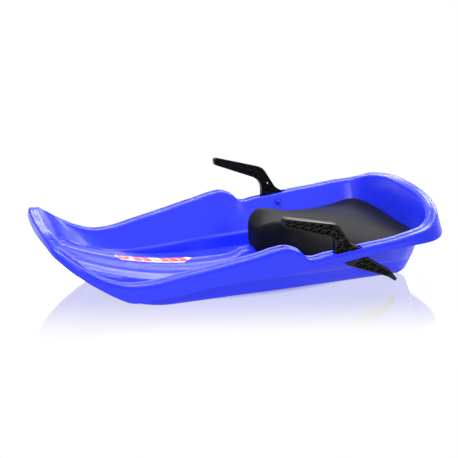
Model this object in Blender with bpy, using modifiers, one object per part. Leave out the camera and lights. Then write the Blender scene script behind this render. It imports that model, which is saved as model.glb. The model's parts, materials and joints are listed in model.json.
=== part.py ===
"""A moulded plastic bobsled with a foam saddle and two hand brakes.

Metres, +X towards the nose, +Y to the rider's left, +Z up. The origin lies on the ground under the middle
of the sled. The hull is a lofted shell: closed rings run round the tub from the runners to the edge of
the skirt, and a grid closes the floor inside the lowest ring.
"""

import bisect
from math import cos, hypot, pi, radians, sin, sqrt

import bmesh
import bpy
from mathutils import Matrix, Vector

# The clearance that touching pieces keep.
GAP = 0.0003

# Overall size of the hull. The tables' lines give x as a share of the length from the middle, and y as a
# share of half the width.
HULL_LENGTH = 0.968
HULL_WIDTH = 0.4946

# Tub: one moulded wall, drafted so that the hulls stack. Its stretches are measured from the nose's or
# tail's end.
WALL = 0.003
GROUND_TO_FLOOR = 0.034
FLOOR_SWEEP_LENGTH = 0.404
FLOOR_SWEEP_RADIUS = 0.820
RIDGE_RISE = 0.018
SEAT_RIDGE_RISE = 0.031
RIDGE_STEP_LENGTH = 0.028
RIDGE_TAIL_LENGTH = 0.124
RIDGE_END_LENGTH = 0.030
RIDGE_CREST_HALF = 0.012
RIDGE_SHOULDER_HALF = 0.026
RIDGE_FOOT_HALF = 0.042
RUNNER_INNER_EDGE = 0.102
RUNNER_INNER_FLAT = 0.117
RUNNER_OUTER_FLAT = 0.131
RUNNER_TOE_LENGTH = 0.284
RUNNER_TOE_RADIUS = 0.250
RUNNER_HEEL_LENGTH = 0.126
RUNNER_HEEL_RADIUS = 0.033
RUNNER_CORNER = 0.0095
CHINE_LEDGE = 0.007
CHINE_LEDGE_DROP = 0.004
NOSE_BOW_LENGTH = 0.120
TAIL_BOW_LENGTH = 0.100

# Rim: the line of its groove, round the left half from the nose's middle to the tail's, by station.
# The stations between 12 and 15 make the arm rest's peak and the step behind it.
RIM_LINE = {
    0: (0.4876, 0, 0.184),
    1: (0.48037, 0.4674, 0.182),
    2: (0.46952, 0.6106, 0.170),
    3: (0.45248, 0.6915, 0.156),
    4: (0.4344, 0.744, 0.1434),
    5: (0.41322, 0.7703, 0.128),
    6: (0.37087, 0.7788, 0.1027),
    7: (0.32645, 0.7744, 0.0877),
    8: (0.27893, 0.7788, 0.0867),
    9: (0.21178, 0.8027, 0.098),
    10: (0.14463, 0.835, 0.109),
    11: (0.05165, 0.8738, 0.1262),
    12: (-0.04132, 0.8924, 0.1420),
    13: (-0.06612, 0.8953, 0.1290),
    14: (-0.08626, 0.8981, 0.1125),
    15: (-0.1095, 0.9001, 0.1060),
    16: (-0.17045, 0.9038, 0.113),
    17: (-0.2469, 0.9017, 0.121),
    18: (-0.30992, 0.8977, 0.1285),
    19: (-0.35434, 0.8795, 0.135),
    20: (-0.3874, 0.8512, 0.139),
    21: (-0.40857, 0.8087, 0.1435),
    22: (-0.42459, 0.7521, 0.151),
    23: (-0.43647, 0.6834, 0.160),
    24: (-0.45351, 0.4852, 0.1725),
    25: (-0.46074, 0, 0.1825),
}
FRONT_CORNER = 2
STEP_STATION = 15
REAR_CORNER = 21
TAIL_STATION = 25

# Chine: the foot of the tub's wall, by the same stations.
CHINE_LINE = {
    0: (0.44628, 0, 0.118),
    1: (0.43802, 0.3558, 0.114),
    2: (0.42149, 0.4569, 0.103),
    3: (0.40083, 0.5216, 0.089),
    4: (0.37707, 0.558, 0.0755),
    5: (0.35227, 0.5823, 0.0625),
    6: (0.31715, 0.6025, 0.050),
    7: (0.28409, 0.6086, 0.0425),
    9: (0.20455, 0.6167, 0.0375),
    10: (0.14463, 0.6187, 0.0395),
    11: (0.05165, 0.6328, 0.044),
    12: (-0.03099, 0.647, 0.045),
    15: (-0.1064, 0.6652, 0.0465),
    17: (-0.2469, 0.6874, 0.051),
    18: (-0.29959, 0.6854, 0.052),
    19: (-0.34401, 0.6753, 0.053),
    20: (-0.37913, 0.649, 0.054),
    21: (-0.40341, 0.5985, 0.055),
    22: (-0.41529, 0.5216, 0.0555),
    23: (-0.42149, 0.4367, 0.056),
    25: (-0.42872, 0, 0.056),
}

# Runners: their flats' outer edge in plan, with y as a share of RUNNER_OUTER_FLAT.
RUNNER_LINE = {
    0: (0.43182, 0),
    1: (0.42252, 0.5954),
    2: (0.40393, 0.771),
    3: (0.3812, 0.8817),
    4: (0.35744, 0.9466),
    5: (0.33264, 0.9847),
    6: (0.30062, 1.0),
    7: (0.27066, 1.0),
    9: (0.20145, 1.0),
    10: (0.14463, 1.0),
    12: (-0.03099, 1.0),
    15: (-0.1064, 1.0),
    17: (-0.2469, 1.0),
    18: (-0.29442, 1.0),
    19: (-0.33574, 1.0),
    20: (-0.3657, 0.9962),
    21: (-0.38636, 0.9695),
    22: (-0.39773, 0.8473),
    23: (-0.40496, 0.7023),
    25: (-0.41116, 0),
}

# Rim band: how far it reaches in and out from its groove, how much its outer side stands above its inner
# one, and the groove's depth. Then its section as fractions of the reaches, with heights.
RIM_BAND = {0: (0.015, 0.012, 0.0, 0.0012), 2: (0.016, 0.015, 0.0, 0.0030), 6: (0.016, 0.0165, 0.0, 0.0035),
            9: (0.016, 0.0175, 0.0, 0.0035), 10: (0.016, 0.0175, 0.0, 0.0035),
            18: (0.016, 0.0175, 0.0, 0.0035), 19: (0.016, 0.0175, 0.0, 0.0035),
            21: (0.014, 0.0175, 0.0010, 0.0035), 22: (0.012, 0.0180, 0.0025, 0.0030),
            23: (0.011, 0.0185, 0.0035, 0.0010), 24: (0.010, 0.0170, 0.0030, 0.0),
            25: (0.010, 0.0150, 0.0045, 0.0)}
LIP_DROP = 0.006
RIM_SECTION = ((-0.81, -0.0010), (-0.50, 0.0), (-0.25, -0.0008), (0.06, 0.0), (0.31, -0.0010), (0.66, 0.0),
               (0.91, -0.0025))
GROOVE_POINT = 3
CHINE_POINT = 4
LIP_POINT = 6
SKIRT_SHOULDER = 0.008

# Skirt: how far its edge hangs below the rim and flares out from the band, by station.
SKIRT = {0: (0.018, 0.001), 1: (0.016, 0.001), 2: (0.015, 0.001), 3: (0.017, 0.001), 4: (0.021, 0.001),
         5: (0.024, 0.001), 6: (0.030, 0.001), 7: (0.0385, 0.001), 8: (0.038, 0.001), 9: (0.043, 0.0015),
         10: (0.042, 0.002), 11: (0.048, 0.003), 12: (0.060, 0.003), 13: (0.047, 0.0025), 14: (0.029, 0.001),
         15: (0.021, 0.0005), 16: (0.024, 0.001), 17: (0.0215, 0.001), 18: (0.021, 0.001), 19: (0.025, 0.003),
         20: (0.030, 0.006), 21: (0.036, 0.009), 22: (0.043, 0.012), 23: (0.049, 0.013), 24: (0.057, 0.016),
         25: (0.063, 0.019)}

# Rope holes in the groove, at the nose's corners and at the arm rests' peaks.
ROPE_HOLE_STATIONS = (1.0, 11.75)
ROPE_HOLE_RADIUS = 0.004

# Brake lever: its pivot's place as a share of the length, and outside and below the rim's groove there,
# the lean of its plane, and the turn of the right lever in this pose.
PIVOT_LINE = -0.19163
PIVOT_OUTSET = 0.0012
PIVOT_DROP = 0.0172
LEVER_LEAN = radians(7.5)
RIGHT_LEVER_RAISED = radians(3.4)
LEVER_THICKNESS = 0.014
LEVER_WEB = 0.003
LEVER_WALL = 0.0024
LEVER_RIB = 0.0016
FLARE_RADIUS = 0.031
FLARE_FROM = radians(107)
FLARE_TO = radians(163)
NECK_FRONT = 0.0385
NECK_HOLE = (0.0207, 0.0453)
NECK_HOLE_RADIUS = 0.0025
SLOT_REAR = 0.0295
SLOT_FOOT = 0.003
SLOT_TOP = 0.040
SLOT_SIDE_CLEARANCE = 0.003

# Outline corners in the lever's own plane: forward of the pivot, up from it, and the corner's radius.
GRIP_TIP_TOP = (0.1730, 0.1190, 0.007)
GRIP_TIP_BOTTOM = (0.1695, 0.0990, 0.006)
INNER_BEND = (NECK_FRONT, 0.0549, 0.034)
NECK_FOOT = (NECK_FRONT, 0.0075, 0.010)
HUB_FOOT = (0.0023, -0.0190, 0.026)
CLAW_HEEL = (-0.1030, -0.0625, 0.020)
CLAW_TIP_LOW = (-0.1250, -0.0778, 0.0025)
CLAW_TIP_HIGH = (-0.1290, -0.0715, 0.003)
CLAW_BACK = (-0.1100, -0.0490, 0.020)
ARM_TOP = (-0.0435, -0.0058, 0.012)
NECK_REAR = (0.0015, 0.0362, 0.004)
OUTER_BEND = (0.0375, 0.0886, 0.028)

# Lattice: edges in the lever's plane, each from rear to front or from foot to top. Zigzag cells fill the
# stretch between a lower and an upper edge; an edge on the lever's outline keeps the outer wall, and an
# inner one half a rib.
GRIP_TOP = ((0.0435, 0.0890), (0.1680, 0.1173))
GRIP_LOW = ((0.0565, 0.0612), (0.1665, 0.0985))
BEND_FRONT = ((0.0390, 0.0470), (0.0555, 0.0620))
BEND_MID = ((0.0270, 0.0515), (0.0490, 0.0755))
BEND_REAR = ((0.0145, 0.0550), (0.0425, 0.0880))
NECK_FORE = ((0.0385, 0.0130), (0.0385, 0.0450))
NECK_MID = ((0.0150, 0.0180), (0.0262, 0.0495))
NECK_BACK = ((-0.0052, 0.0290), (0.0140, 0.0532))
HUB_LOW = ((-0.0160, 0.0030), (0.0060, 0.0140))
HUB_TOP = ((-0.0280, 0.0120), (-0.0080, 0.0280))
ARM_LOW = ((-0.0640, -0.0460), (-0.0100, -0.0235))
ARM_TOP_EDGE = ((-0.0760, -0.0278), (-0.0340, -0.0000))
CLAW_LOW = ((-0.1050, -0.0630), (-0.0655, -0.0466))
CLAW_TOP = ((-0.1110, -0.0513), (-0.0775, -0.0288))
GRIP_CELLS = 12
BEND_CELLS = 5
NECK_CELLS = 5
HUB_CELLS = 4
ARM_CELLS = 6
CLAW_CELLS = 6

# Pivot hardware, as stacked along the axis.
BOLT_RADIUS = 0.003
BOLT_HEAD_RADIUS = 0.0048
BOLT_HEAD_HEIGHT = 0.0028
BOLT_HEAD_LAND = 0.0006
BOLT_CHAMFER = 0.0005
BOLT_TAIL = 0.001
BUSH_RADIUS = 0.0045
THRUST_WASHER_RADIUS = 0.0085
THRUST_WASHER_THICKNESS = 0.001
WASHER_RADIUS = 0.0060
WASHER_THICKNESS = 0.0012
NUT_ACROSS_FLATS = 0.010
NUT_HEIGHT = 0.005
COUNTERBORE_RADIUS = 0.0078
BOSS_RADIUS = 0.0078
BOSS_STAND = 0.0005
TURNED_STEPS = 20

# Seat: sections across the saddle, as x share, then the bottom's half width and height, the edge's and
# the shoulder's half width share and height, and the height of the middle. The tub's lining cuts it to
# its final outline.
SEAT_SECTIONS = (
    (-0.02893, 0.0809, 0.06, 0.1213, 0.08, 0.1051, 0.1, 0.099),
    (-0.04855, 0.1617, 0.036, 0.2426, 0.086, 0.2184, 0.126, 0.11),
    (-0.08058, 0.2022, 0.02, 0.3154, 0.092, 0.2831, 0.145, 0.127),
    (-0.10744, 0.2426, 0.02, 0.3478, 0.078, 0.2426, 0.138, 0.138),
    (-0.13843, 0.3639, 0.02, 0.5661, 0.064, 0.2345, 0.132, 0.138),
    (-0.18079, 0.4448, 0.02, 0.829, 0.06, 0.2992, 0.124, 0.133),
    (-0.27893, 0.4448, 0.02, 0.8977, 0.066, 0.4044, 0.107, 0.117),
    (-0.3564, 0.4448, 0.02, 0.8977, 0.086, 0.465, 0.099, 0.105),
    (-0.39773, 0.4448, 0.02, 0.8977, 0.114, 0.4772, 0.103, 0.103),
    (-0.46488, 0.4448, 0.02, 0.8977, 0.116, 0.4852, 0.103, 0.102),
)
SEAT_SMOOTHING = 2
SEAT_FACETS_KEPT = 0.78
SEAT_STEP_LEAD = 0.019
SEAT_GAP = 0.0005
LID_HEIGHT = 0.250

# Seat rivets: push-in plugs that hold the pad from under the floor, with x as shares of the length.
RIVET_LINE = (-0.155, -0.32)
RIVET_Y = 0.078
RIVET_HEAD_RADIUS = 0.009
RIVET_HEAD_HEIGHT = 0.003
RIVET_SHANK_RADIUS = 0.003
RIVET_BARB = 0.0012
RIVET_BARBS = 2
RIVET_LENGTH = 0.022

# Hull mesh: rows of the floor grid between neighbouring stations, and where its columns run.
ROWS_AT = (2, 2.6, 3.2, 3.9, 4.6, 5.2, 5.8, 6.4, 7, 7.6, 8.2, 8.8, 9.6, 10.4, 11.1, 11.7, 12, 12.5, 13, 13.5, 14, 14.5,
           15, 16, 17, 18, 19, 20, 21)
FLOOR_COLUMNS = (0.0, RIDGE_CREST_HALF, RIDGE_SHOULDER_HALF, RIDGE_FOOT_HALF, 0.070, RUNNER_INNER_EDGE,
                 RUNNER_INNER_FLAT, RUNNER_OUTER_FLAT)

parts = bpy.data.collections.new("bobsled")
cutters = bpy.data.collections.new("cutters")


def start_scene():
    for obj in list(bpy.data.objects):
        bpy.data.objects.remove(obj)
    for collection in (parts, cutters):
        bpy.context.scene.collection.children.link(collection)
    cutters.hide_render = True


def material(name, colour, roughness, metallic=0.0):
    made = bpy.data.materials.new(name)
    made.use_nodes = True
    shader = made.node_tree.nodes["Principled BSDF"]
    shader.inputs["Base Color"].default_value = (*colour, 1.0)
    shader.inputs["Roughness"].default_value = roughness
    shader.inputs["Metallic"].default_value = metallic
    return made


def add_object(name, mesh, look=None, matrix=Matrix()):
    obj = bpy.data.objects.new(name, mesh)
    obj.matrix_world = matrix
    if look:
        mesh.materials.append(look)
        parts.objects.link(obj)
    else:
        obj.hide_render = True
        obj.display_type = "WIRE"
        cutters.objects.link(obj)
    return obj


def mesh_from(bm, name):
    """The mesh of a closed shape, with its faces pointing out."""
    bmesh.ops.recalc_face_normals(bm, faces=bm.faces)
    mesh = bpy.data.meshes.new(name)
    bm.to_mesh(mesh)
    bm.free()
    return mesh


def smooth_mesh(bm, name):
    mesh = bpy.data.meshes.new(name)
    bm.to_mesh(mesh)
    bm.free()
    mesh.shade_smooth()
    mesh.set_sharp_from_angle(angle=radians(40))
    return mesh


def boolean(obj, cutter, operation="DIFFERENCE"):
    modifier = obj.modifiers.new(operation.lower() + "_" + cutter.name, "BOOLEAN")
    modifier.operation = operation
    modifier.object = cutter
    modifier.solver = "EXACT"


def pivot_matrix(side):
    """The lever's plane: its X runs forward, its Y up and outward, its Z along the pivot."""
    x, y, z = pivot_place()
    place = Matrix.Translation((x, side * y, z))
    return place @ Matrix.Rotation(pi / 2 - side * LEVER_LEAN, 4, "X")


def axle_matrix(side):
    """On the pivot, with Z along its axis towards the middle of the tub."""
    x, y, z = pivot_place()
    place = Matrix.Translation((x, side * y, z))
    return place @ Matrix.Rotation(side * (pi / 2 - LEVER_LEAN), 4, "X")


class Guide:
    """A smooth curve through values at stations, carried on past the tub's middle as its mirror image."""

    def __init__(self, values, distances, mirrored):
        stations = sorted(values)
        flip = [-1.0 if i in mirrored else 1.0 for i in range(len(values[stations[0]]))]
        knots = [distances[s] for s in stations]
        points = [values[s] for s in stations]
        self.knots = [2 * knots[0] - knots[1], *knots, 2 * knots[-1] - knots[-2]]
        first = [a * b for a, b in zip(points[1], flip)]
        last = [a * b for a, b in zip(points[-2], flip)]
        self.points = [first, *points, last]

    def slope(self, i, axis):
        before = self.knots[i] - self.knots[i - 1]
        after = self.knots[i + 1] - self.knots[i]
        rise_before = (self.points[i][axis] - self.points[i - 1][axis]) / before
        rise_after = (self.points[i + 1][axis] - self.points[i][axis]) / after
        return (rise_before * after + rise_after * before) / (before + after)

    def at(self, distance):
        i = min(max(bisect.bisect_right(self.knots, distance) - 1, 1), len(self.knots) - 3)
        length = self.knots[i + 1] - self.knots[i]
        t = (distance - self.knots[i]) / length
        start, end = (1 + 2 * t) * (1 - t) ** 2, t * t * (3 - 2 * t)
        leave, arrive = t * (1 - t) ** 2 * length, t * t * (t - 1) * length
        return [
            start * self.points[i][axis] + end * self.points[i + 1][axis]
            + leave * self.slope(i, axis) + arrive * self.slope(i + 1, axis)
            for axis in range(len(self.points[i]))
        ]


def placed(table, half_width=HULL_WIDTH / 2):
    """A line's stations in metres."""
    return {key: (x * HULL_LENGTH, y * half_width, *height) for key, (x, y, *height) in table.items()}


def rim_distances():
    """How far each station lies along the rim from the nose's middle."""
    line = placed(RIM_LINE)
    distances = {0: 0.0}
    for station in range(1, TAIL_STATION + 1):
        step = Vector(line[station]) - Vector(line[station - 1])
        distances[station] = distances[station - 1] + step.length
    return distances


DISTANCES = rim_distances()
RIM = Guide(placed(RIM_LINE), DISTANCES, {1})
CHINE = Guide(placed(CHINE_LINE), DISTANCES, {1})
RUNNER = Guide(placed(RUNNER_LINE, RUNNER_OUTER_FLAT), DISTANCES, {1})
BAND = Guide(RIM_BAND, DISTANCES, set())
DRAPE = Guide(SKIRT, DISTANCES, set())


def rivet_places():
    return [share * HULL_LENGTH for share in RIVET_LINE]


def distance_at(station):
    whole = min(int(station), TAIL_STATION - 1)
    return DISTANCES[whole] + (station - whole) * (DISTANCES[whole + 1] - DISTANCES[whole])


def ease(t):
    t = min(max(t, 0.0), 1.0)
    return t * t * (3 - 2 * t)


def between(x, table):
    """Linear interpolation in a list of (position, height) pairs."""
    if x <= table[0][0]:
        return table[0][1]
    for (x0, z0), (x1, z1) in zip(table, table[1:]):
        if x <= x1:
            return z0 + (z1 - z0) * (x - x0) / (x1 - x0)
    return table[-1][1]


def sweep(x, start, radius):
    """How far an arc that starts level at `start` has risen by x."""
    along = min(max(x - start, 0.0), radius)
    return radius - sqrt(radius * radius - along * along)


def floor_height(x, column):
    """The floor's top at x, on the grid line that lies `column` from the middle at full width."""
    end = HULL_LENGTH / 2
    floor = GROUND_TO_FLOOR + sweep(x, end - FLOOR_SWEEP_LENGTH, FLOOR_SWEEP_RADIUS)
    toe = sweep(x, end - RUNNER_TOE_LENGTH, RUNNER_TOE_RADIUS)
    heel = sweep(-x, end - RUNNER_HEEL_LENGTH, RUNNER_HEEL_RADIUS)
    runner = min(WALL + toe + heel, floor)
    seat_front = SEAT_SECTIONS[0][0] * HULL_LENGTH
    step = ease((seat_front + SEAT_STEP_LEAD + RIDGE_STEP_LENGTH - x) / RIDGE_STEP_LENGTH)
    rise = RIDGE_RISE + (SEAT_RIDGE_RISE - RIDGE_RISE) * step
    rise *= ease((x + end - RIDGE_TAIL_LENGTH) / RIDGE_END_LENGTH)
    profile = (
        (0.0, floor + rise),
        (RIDGE_CREST_HALF, floor + 0.95 * rise),
        (RIDGE_SHOULDER_HALF, floor + 0.6 * rise),
        (RIDGE_FOOT_HALF, floor),
        (RUNNER_INNER_EDGE, floor),
        (RUNNER_INNER_FLAT, runner),
        (RUNNER_OUTER_FLAT, runner),
    )
    return between(column, profile)


def outward(distance):
    """The rim's outward direction in plan."""
    ahead, behind = RIM.at(distance + 0.001), RIM.at(distance - 0.001)
    direction = Vector((ahead[1] - behind[1], behind[0] - ahead[0], 0.0))
    return direction.normalized()


def section(distance, column):
    """The points of the tub's inner face at one place round it, from the runner to the skirt's edge."""
    rim, chine = Vector(RIM.at(distance)), Vector(CHINE.at(distance))
    runner = Vector((*RUNNER.at(distance), 0.0))
    runner.z = floor_height(runner.x, column)
    aside = Vector((chine.x - runner.x, chine.y - runner.y, 0.0))
    width = aside.length
    aside.normalize()
    out = outward(distance)
    reach_in, reach_out, tilt, groove = BAND.at(distance)
    drop, flare = DRAPE.at(distance)
    lip = rim - out * reach_in - Vector((0, 0, LIP_DROP + tilt))

    # Where the ridge runs into the nose's wall, the wall starts from the ridge's top.
    lift = max(0.0, floor_height(chine.x, column) - chine.z)
    chine = chine.lerp(lip, lift / (lip.z - chine.z))

    corner = runner + aside * min(RUNNER_CORNER, 0.35 * width)
    ledge = chine - aside * min(CHINE_LEDGE, 0.3 * width) - Vector((0, 0, CHINE_LEDGE_DROP))
    rise = ledge - corner
    corner_end = corner + rise * min(0.3, RUNNER_CORNER / rise.length)
    corner_mid = (runner + 2 * corner + corner_end) / 4
    points = [runner, corner_mid, corner_end, ledge, chine, chine.lerp(lip, 0.5), lip]

    for i, (share, height) in enumerate(RIM_SECTION):
        reach = reach_in if share < 0 else reach_out
        height += tilt * share - (groove if i == GROOVE_POINT else 0.0)
        points.append(rim + out * reach * share + Vector((0, 0, height)))
    top = rim + out * reach_out + Vector((0, 0, tilt - SKIRT_SHOULDER))
    edge = rim + out * (reach_out + flare) - Vector((0, 0, drop))
    return points + [top, top.lerp(edge, 0.5), edge]


def distance_where(line, value, axis, low, high):
    """The distance between two others at which a line reaches a value, by halving."""
    rising = line.at(high)[axis] > line.at(low)[axis]
    for _ in range(40):
        middle = (low + high) / 2
        if (line.at(middle)[axis] < value) == rising:
            low = middle
        else:
            high = middle
    return (low + high) / 2


def pivot_distance():
    """How far round the rim the left pivot lies."""
    low, high = distance_at(STEP_STATION), distance_at(REAR_CORNER)
    return distance_where(RIM, PIVOT_LINE * HULL_LENGTH, 0, low, high)


def pivot_place():
    x, y, z = RIM.at(pivot_distance())
    return x, y + PIVOT_OUTSET, z - PIVOT_DROP


def boss_seat():
    """How far inward from the pivot the washer's seat on the boss lies: clear of the sloping wall."""
    x, y, z = pivot_place()
    points = section(pivot_distance(), RUNNER_OUTER_FLAT)
    foot, lip = points[CHINE_POINT], points[LIP_POINT]
    share = (z - BOSS_RADIUS - foot.z) / (lip.z - foot.z)
    return y - foot.lerp(lip, share).y + BOSS_STAND


def half_samples():
    """(distance, column) of each ring point round the left half, from the nose's middle to the tail's."""
    front, rear = distance_at(FRONT_CORNER), distance_at(REAR_CORNER)
    nose = [(0.0, 0.0)]
    for column in FLOOR_COLUMNS[1:-1]:
        y = RUNNER.at(front)[1] * column / RUNNER_OUTER_FLAT
        nose.append((distance_where(RUNNER, y, 1, 0.0, front), column))
    sides = [(distance_at(station), RUNNER_OUTER_FLAT) for station in ROWS_AT]
    end = distance_at(TAIL_STATION)
    tail = []
    for column in reversed(FLOOR_COLUMNS[1:-1]):
        y = RUNNER.at(rear)[1] * column / RUNNER_OUTER_FLAT
        tail.append((distance_where(RUNNER, y, 1, rear, end), column))
    return nose + sides + tail + [(end, 0.0)]


def floor_rows(rings):
    """The floor's grid of points, row by row from the nose. Its border is the lowest ring."""
    columns = len(FLOOR_COLUMNS) - 1
    count = len(rings)
    corner, last = columns, columns + len(ROWS_AT) - 1
    nose = [rings[i % count][0] for i in range(corner, -corner - 1, -1)]
    tail_middle = last + columns
    tail = [rings[i][0] for i in range(last, tail_middle + columns + 1)]
    rows = [nose]
    for row in range(1, len(ROWS_AT) - 1):
        left, right = rings[corner + row][0], rings[-(corner + row)][0]
        front_fade = max(0.0, 1 - (nose[0].x - left.x) / NOSE_BOW_LENGTH) ** 2
        rear_fade = max(0.0, 1 - (left.x - tail[0].x) / TAIL_BOW_LENGTH) ** 2
        line = [left]
        for i in range(1, 2 * columns):
            offset = columns - i
            column = FLOOR_COLUMNS[abs(offset)]
            y = left.y * column / RUNNER_OUTER_FLAT * (1 if offset > 0 else -1)
            x = left.x + (nose[i].x - nose[0].x) * front_fade + (tail[i].x - tail[0].x) * rear_fade
            line.append(Vector((x, y, floor_height(x, column))))
        rows.append(line + [right])
    return rows + [tail]


def tub_surface():
    """(rings, rows) of the tub's inner face. Each ring point holds its section's points."""
    left = [section(distance, column) for distance, column in half_samples()]
    flip = Vector((1, -1, 1))
    right = [[point * flip for point in points] for points in left[-2:0:-1]]
    rings = left + right
    return rings, floor_rows(rings)


def add_grid(bm, rows, split=False):
    """Faces between neighbouring rows of vertices, as quads or split into triangles."""
    for above, below in zip(rows, rows[1:]):
        for a, b, c, d in zip(above, above[1:], below[1:], below):
            for corners in ((a, b, c), (a, c, d)) if split else ((a, b, c, d),):
                bm.faces.new(corners)


def add_tub(bm, rings, rows, depth):
    """Faces of the floor and of the rings up to `depth` points of each section."""
    bands = [[bm.verts.new(points[level]) for points in rings] for level in range(depth)]
    columns = len(rows[0]) // 2
    count = len(rings)
    last = columns + len(rows) - 1
    grid = [[bands[0][i % count] for i in range(columns, -columns - 1, -1)]]
    for row in range(1, len(rows) - 1):
        inner = [bm.verts.new(point) for point in rows[row][1:-1]]
        grid.append([bands[0][columns + row], *inner, bands[0][-(columns + row)]])
    grid.append([bands[0][i] for i in range(last, last + 2 * columns + 1)])
    add_grid(bm, grid, True)
    add_grid(bm, [band + band[:1] for band in bands], True)
    bmesh.ops.recalc_face_normals(bm, faces=bm.faces)
    if grid[1][columns].normal.z < 0:
        bmesh.ops.reverse_faces(bm, faces=bm.faces)
    return bands


def add_prism(bm, outline, low, high, matrix=Matrix()):
    """A straight prism on an outline in the XY plane, from z low to z high."""
    base = [bm.verts.new(matrix @ Vector((x, y, low))) for x, y in outline]
    top = [bm.verts.new(matrix @ Vector((x, y, high))) for x, y in outline]
    bm.faces.new(base[::-1])
    bm.faces.new(top)
    for a, b, c, d in zip(base, base[1:] + base[:1], top[1:] + top[:1], top):
        bm.faces.new((a, b, c, d))


def circle(radius, centre=(0.0, 0.0), steps=TURNED_STEPS):
    return [
        (centre[0] + radius * cos(2 * pi * i / steps), centre[1] + radius * sin(2 * pi * i / steps))
        for i in range(steps)
    ]


def make_hull(look, rings, rows):
    bm = bmesh.new()
    add_tub(bm, rings, rows, len(rings[0]))
    hull = add_object("hull", smooth_mesh(bm, "hull"), look)
    shell = hull.modifiers.new("moulded wall", "SOLIDIFY")
    shell.thickness = WALL
    shell.offset = -1.0
    shell.use_even_offset = True

    bm = bmesh.new()
    half = LEVER_THICKNESS / 2 + SLOT_SIDE_CLEARANCE
    front = NECK_FRONT + GAP
    slot = ((-SLOT_REAR, SLOT_FOOT), (front, SLOT_FOOT), (front, SLOT_TOP), (-SLOT_REAR, SLOT_TOP))
    for side in (1, -1):
        add_prism(bm, slot, -half, half, pivot_matrix(side))
        for station in ROPE_HOLE_STATIONS:
            x, y, z = RIM.at(distance_at(station))
            add_prism(bm, circle(ROPE_HOLE_RADIUS, (x, side * y), 16), z - 4 * WALL, z + 4 * WALL)
        for x in rivet_places():
            hole = circle(RIVET_SHANK_RADIUS + GAP, (x, side * RIVET_Y), 16)
            add_prism(bm, hole, GROUND_TO_FLOOR - 3 * WALL, GROUND_TO_FLOOR + 2 * WALL)
    boolean(hull, add_object("hull_openings", mesh_from(bm, "hull_openings")))

    bm = bmesh.new()
    for side in (1, -1):
        add_prism(bm, circle(BOSS_RADIUS), boss_face(), boss_seat(), axle_matrix(side))
    boolean(hull, add_object("pivot_bosses", mesh_from(bm, "pivot_bosses")), "UNION")

    bm = bmesh.new()
    for side in (1, -1):
        add_prism(bm, circle(BOLT_RADIUS + GAP), 0.0, boss_seat() + 0.010, axle_matrix(side))
    boolean(hull, add_object("pivot_bores", mesh_from(bm, "pivot_bores")))


def boss_face():
    """Where the hull's boss ends, next to the thrust washer on the lever's inner face."""
    return LEVER_THICKNESS / 2 + THRUST_WASHER_THICKNESS + 2 * GAP


def rounded(corners):
    """A closed outline with each corner turned on its own radius; a radius of 0 keeps the corner."""
    outline = []
    for i, (x, y, radius) in enumerate(corners):
        here = Vector((x, y))
        before = (Vector(corners[i - 1][:2]) - here).normalized()
        after = (Vector(corners[(i + 1) % len(corners)][:2]) - here).normalized()
        half = before.angle(after) / 2
        if radius == 0 or half > radians(88):
            outline.append((x, y))
            continue
        reach = radius * cos(half) / sin(half)
        start, end = here + before * reach, here + after * reach
        centre = here + (before + after).normalized() * radius / sin(half)
        spoke = start - centre
        turn = -spoke.angle_signed(end - centre)
        steps = max(2, round(abs(turn) / radians(18)))
        for k in range(steps + 1):
            outline.append(tuple(centre + Matrix.Rotation(turn * k / steps, 2) @ spoke))
    return outline


def lever_outline():
    flare = []
    steps = 5
    for i in range(steps + 1):
        angle = FLARE_TO + (FLARE_FROM - FLARE_TO) * i / steps
        flare.append((FLARE_RADIUS * cos(angle), FLARE_RADIUS * sin(angle), 0))
    return rounded([
        GRIP_TIP_TOP, GRIP_TIP_BOTTOM, INNER_BEND, NECK_FOOT, HUB_FOOT, CLAW_HEEL, CLAW_TIP_LOW, CLAW_TIP_HIGH,
        CLAW_BACK, ARM_TOP, *flare, NECK_REAR, OUTER_BEND,
    ])


def inset(corners, margins):
    """A convex polygon with each side moved in by its own margin. The corners run anticlockwise."""
    lines = []
    for (x0, y0), (x1, y1), margin in zip(corners, corners[1:] + corners[:1], margins):
        length = hypot(x1 - x0, y1 - y0)
        normal = (-(y1 - y0) / length, (x1 - x0) / length)
        lines.append((*normal, normal[0] * x0 + normal[1] * y0 + margin))
    made = []
    for (a, b, e), (c, d, f) in zip([lines[-1]] + lines[:-1], lines):
        det = a * d - b * c
        made.append(((e * d - b * f) / det, (a * f - e * c) / det))
    return made


def truss(lower, upper, count, lower_margin, upper_margin):
    """Zigzag cells that fill the stretch between two straight edges, each given by its end points."""

    def on(edge, share):
        return tuple(a + (b - a) * share for a, b in zip(*edge))

    cells = []
    rib = LEVER_RIB / 2
    for i in range(count):
        first, middle, last = (min(max(j, 0), count - 1) / (count - 1) for j in (i - 1, i, i + 1))
        if i % 2:
            corners = [on(lower, middle), on(upper, last), on(upper, first)]
            margins = [rib, upper_margin, rib]
        else:
            corners = [on(lower, first), on(lower, last), on(upper, middle)]
            margins = [lower_margin, rib, rib]
        cells.append(inset(corners, margins))
    return cells


def middle_of(first, second):
    """The edge halfway between two others."""
    return tuple(tuple((a + b) / 2 for a, b in zip(p, q)) for p, q in zip(first, second))


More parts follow.
